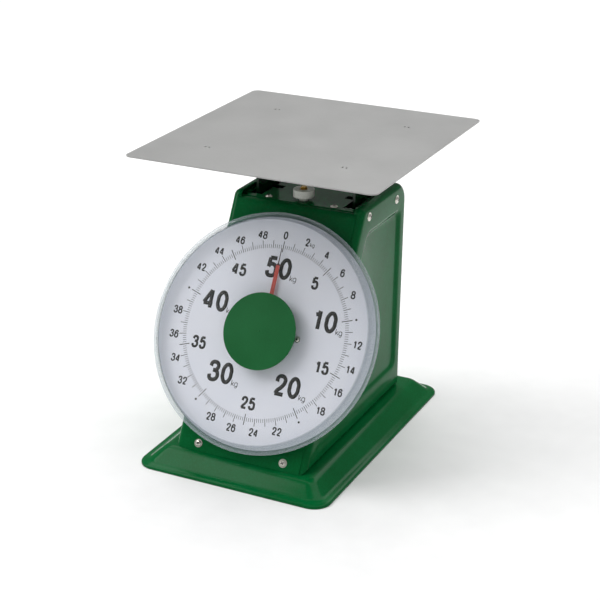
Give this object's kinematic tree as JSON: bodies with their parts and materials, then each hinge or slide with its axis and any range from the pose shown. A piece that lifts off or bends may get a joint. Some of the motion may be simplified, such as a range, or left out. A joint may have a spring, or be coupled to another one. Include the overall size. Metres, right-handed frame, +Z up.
{
  "type": "mechanical dial platform scale",
  "caption": "Upright spring scale: leaning round dial with a clear cover on a pressed-steel case, flat platform on two uprights, zero knob on top.",
  "frame": {"origin": "centre of the bounding box's bottom face, on the floor", "axes": "+X to the right of a person facing the dial, the dial faces -Y, +Z up"},
  "size_m": [0.33, 0.3996, 0.39],
  "materials": {
    "green_enamel": "gloss baked enamel on pressed steel",
    "dark_green_paint": "dark green gloss paint",
    "stainless_steel": "fine matt rolled stainless sheet",
    "nickel_screws": "nickel plated",
    "zinc_steel": "zinc plated sheet",
    "ground_steel": "ground bright steel",
    "spring_steel": "oiled spring wire",
    "brass": "turned brass",
    "white_enamel": "satin white enamel with printed scale",
    "clear_plastic": "clear moulded acrylic",
    "green_plastic": "satin moulded plastic",
    "white_plastic": "satin moulded plastic",
    "red_paint": "satin red paint on aluminium",
    "black_plastic": "black moulded plastic",
    "black_rubber": "black rubber"
  },
  "bodies": {
    "case": {"base_pan": "green_enamel", "side_panel_left": "green_enamel", "side_panel_right": "green_enamel", "front_panel": "green_enamel", "rear_panel": "green_enamel", "top_plate": "green_enamel", "front_bracket": "zinc_steel", "front_screws": "nickel_screws", "top_screws": "nickel_screws", "side_screws": "nickel_screws", "rear_screws": "nickel_screws", "base_screws": "nickel_screws", "chassis_floor": "zinc_steel", "chassis_plate_left": "zinc_steel", "chassis_plate_right": "zinc_steel", "bridge": "zinc_steel", "guide_pins": "ground_steel", "dial_housing": "green_enamel", "dial_plate": "white_enamel", "dial_spacers": "zinc_steel", "dial_screws": "nickel_screws", "clear_cover": "clear_plastic", "centre_disc": "green_plastic", "movement_strap": "zinc_steel", "movement_plate": "brass", "movement_pillars": "brass", "front_bush": "brass", "rear_bush": "brass", "rack_guides": "zinc_steel", "upper_shaft": "ground_steel", "lower_shaft": "ground_steel", "shaft_clips": "zinc_steel", "damper_cylinder": "ground_steel", "damper_cap": "black_plastic", "overload_stops": "black_rubber"},
    "carriage": {"upright_left": "dark_green_paint", "upright_right": "dark_green_paint", "carriage_bar_upper": "zinc_steel", "carriage_bar_lower": "zinc_steel", "lower_plugs": "zinc_steel", "link_pins": "ground_steel", "driver_arm": "zinc_steel", "rail_left": "dark_green_paint", "rail_right": "dark_green_paint", "cross_bars": "dark_green_paint", "platform": "stainless_steel", "damper_piston": "zinc_steel"},
    "rack": {"rack": "ground_steel"},
    "pointer": {"pinion_shaft": "ground_steel", "pinion": "brass", "pointer_hub": "black_plastic", "pointer": "red_paint"},
    "upper_link": {"upper_link": "zinc_steel"},
    "lower_link": {"lower_link": "zinc_steel"},
    "yoke": {"zero_yoke": "zinc_steel", "upper_plugs": "zinc_steel", "spring_left": "spring_steel", "spring_right": "spring_steel"},
    "knob": {"zero_knob": "white_plastic", "zero_screw": "brass"}
  },
  "joints": [
    {"name": "carriage_slide", "type": "slide", "parent": "case", "child": "carriage", "axis": [0, 0, -1], "range_m": [0, 0.025], "stiffness_N_per_m": 19600, "springref_m": -0.003, "deforming": ["spring_left", "spring_right"]},
    {"name": "rack_slide", "type": "slide", "parent": "case", "child": "rack", "axis": [0, -0.4802, -0.8771], "range_m": [0, 0.02193]},
    {"name": "pointer_turn", "type": "hinge", "parent": "case", "child": "pointer", "pos_m": [0, -0.08945, 0.1651], "axis": [0, 0.8771, -0.4802], "range_deg": [0, 360]},
    {"name": "upper_link_pivot", "type": "hinge", "parent": "case", "child": "upper_link", "pos_m": [0, 0.112, 0.24], "axis": [1, 0, 0], "range_deg": [0, 17.05]},
    {"name": "lower_link_pivot", "type": "hinge", "parent": "case", "child": "lower_link", "pos_m": [0, 0.112, 0.09], "axis": [1, 0, 0], "range_deg": [0, 17.05]},
    {"name": "zero_slide", "type": "slide", "parent": "case", "child": "yoke", "axis": [0, 0, 1], "range_m": [-0.00125, 0.00125], "deforming": ["spring_left", "spring_right"]},
    {"name": "zero_knob_turn", "type": "hinge", "parent": "case", "child": "knob", "pos_m": [0, 0.012, 0.316], "axis": [0, 0, 1], "range_deg": [-360, 360]}
  ],
  "couplings": [
    {"joint": "rack_slide", "follows": "carriage_slide", "ratio": 0.87715},
    {"joint": "pointer_turn", "follows": "carriage_slide", "rad_per_m": 251.33},
    {"joint": "upper_link_pivot", "follows": "carriage_slide", "rad_per_m": 11.884},
    {"joint": "lower_link_pivot", "follows": "carriage_slide", "rad_per_m": 11.884},
    {"joint": "zero_knob_turn", "follows": "zero_slide", "rad_per_m": -5026.5}
  ]
}
